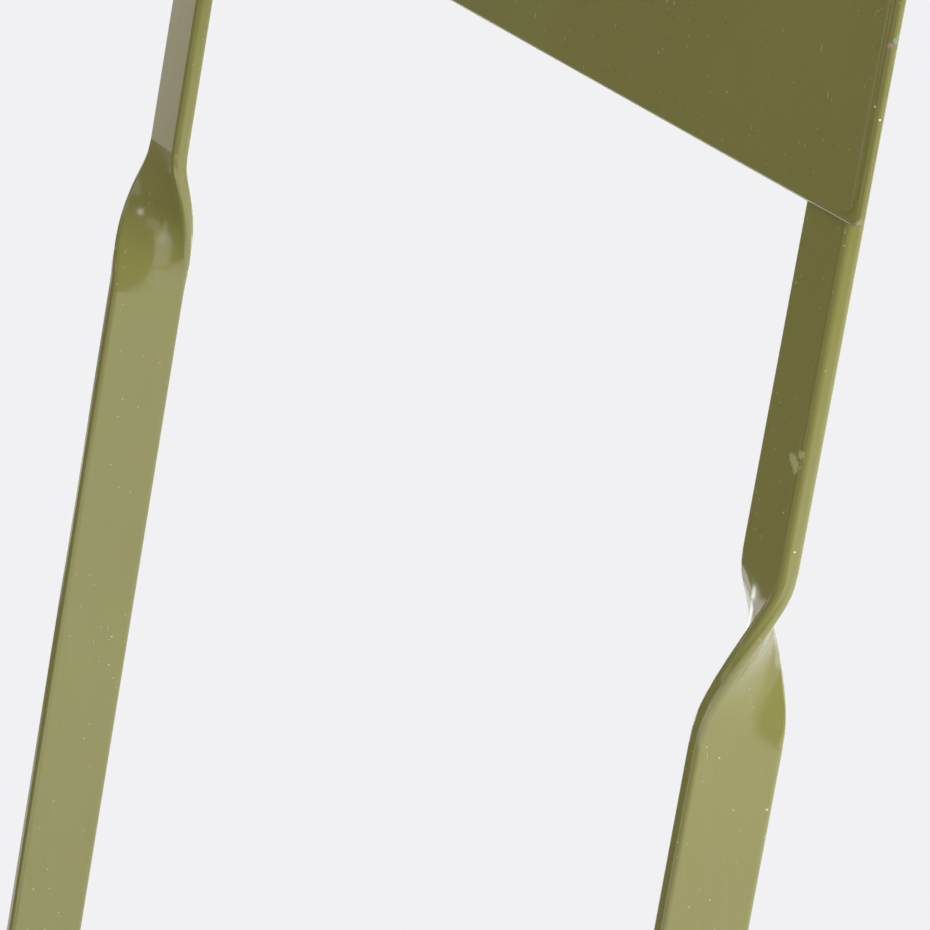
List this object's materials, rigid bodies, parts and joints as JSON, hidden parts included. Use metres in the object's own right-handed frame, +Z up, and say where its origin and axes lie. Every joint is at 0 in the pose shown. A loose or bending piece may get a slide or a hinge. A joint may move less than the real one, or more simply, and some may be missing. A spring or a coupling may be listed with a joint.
{
  "type": "stacking chair",
  "caption": "Stacking side chair in painted steel, with splayed flat-bar legs given a quarter twist, a folded sheet seat with side skirts, and a curved sheet backrest.",
  "frame": {"origin": "on the floor, under the middle of the chair's overall width and depth", "axes": "+Z up, -Y the way the sitter faces, +X towards the sitter's left"},
  "size_m": [0.553, 0.493, 0.7904],
  "materials": {
    "painted_steel": "semi-gloss olive green powder coat",
    "painted_rivets": "same olive green coat over the rivet heads",
    "buffer_rubber": "matt black",
    "zinc_screws": "zinc plated",
    "shoe_plastic": "moulded black polyethylene"
  },
  "bodies": {
    "root": {"seat_shell": "painted_steel", "front_leg_left": "painted_steel", "front_leg_right": "painted_steel", "rear_leg_left": "painted_steel", "rear_leg_right": "painted_steel", "side_rail_left": "painted_steel", "side_rail_right": "painted_steel", "pan_stiffener_front": "painted_steel", "pan_stiffener_rear": "painted_steel", "backrest_panel": "painted_steel", "backrest_rivets": "painted_rivets", "stacking_buffer_front_left": "buffer_rubber", "stacking_buffer_front_right": "buffer_rubber", "stacking_buffer_rear_left": "buffer_rubber", "stacking_buffer_rear_right": "buffer_rubber", "buffer_screws": "zinc_screws", "foot_shoe_front_left": "shoe_plastic", "foot_shoe_front_right": "shoe_plastic", "foot_shoe_rear_left": "shoe_plastic", "foot_shoe_rear_right": "shoe_plastic"}
  },
  "joints": []
}
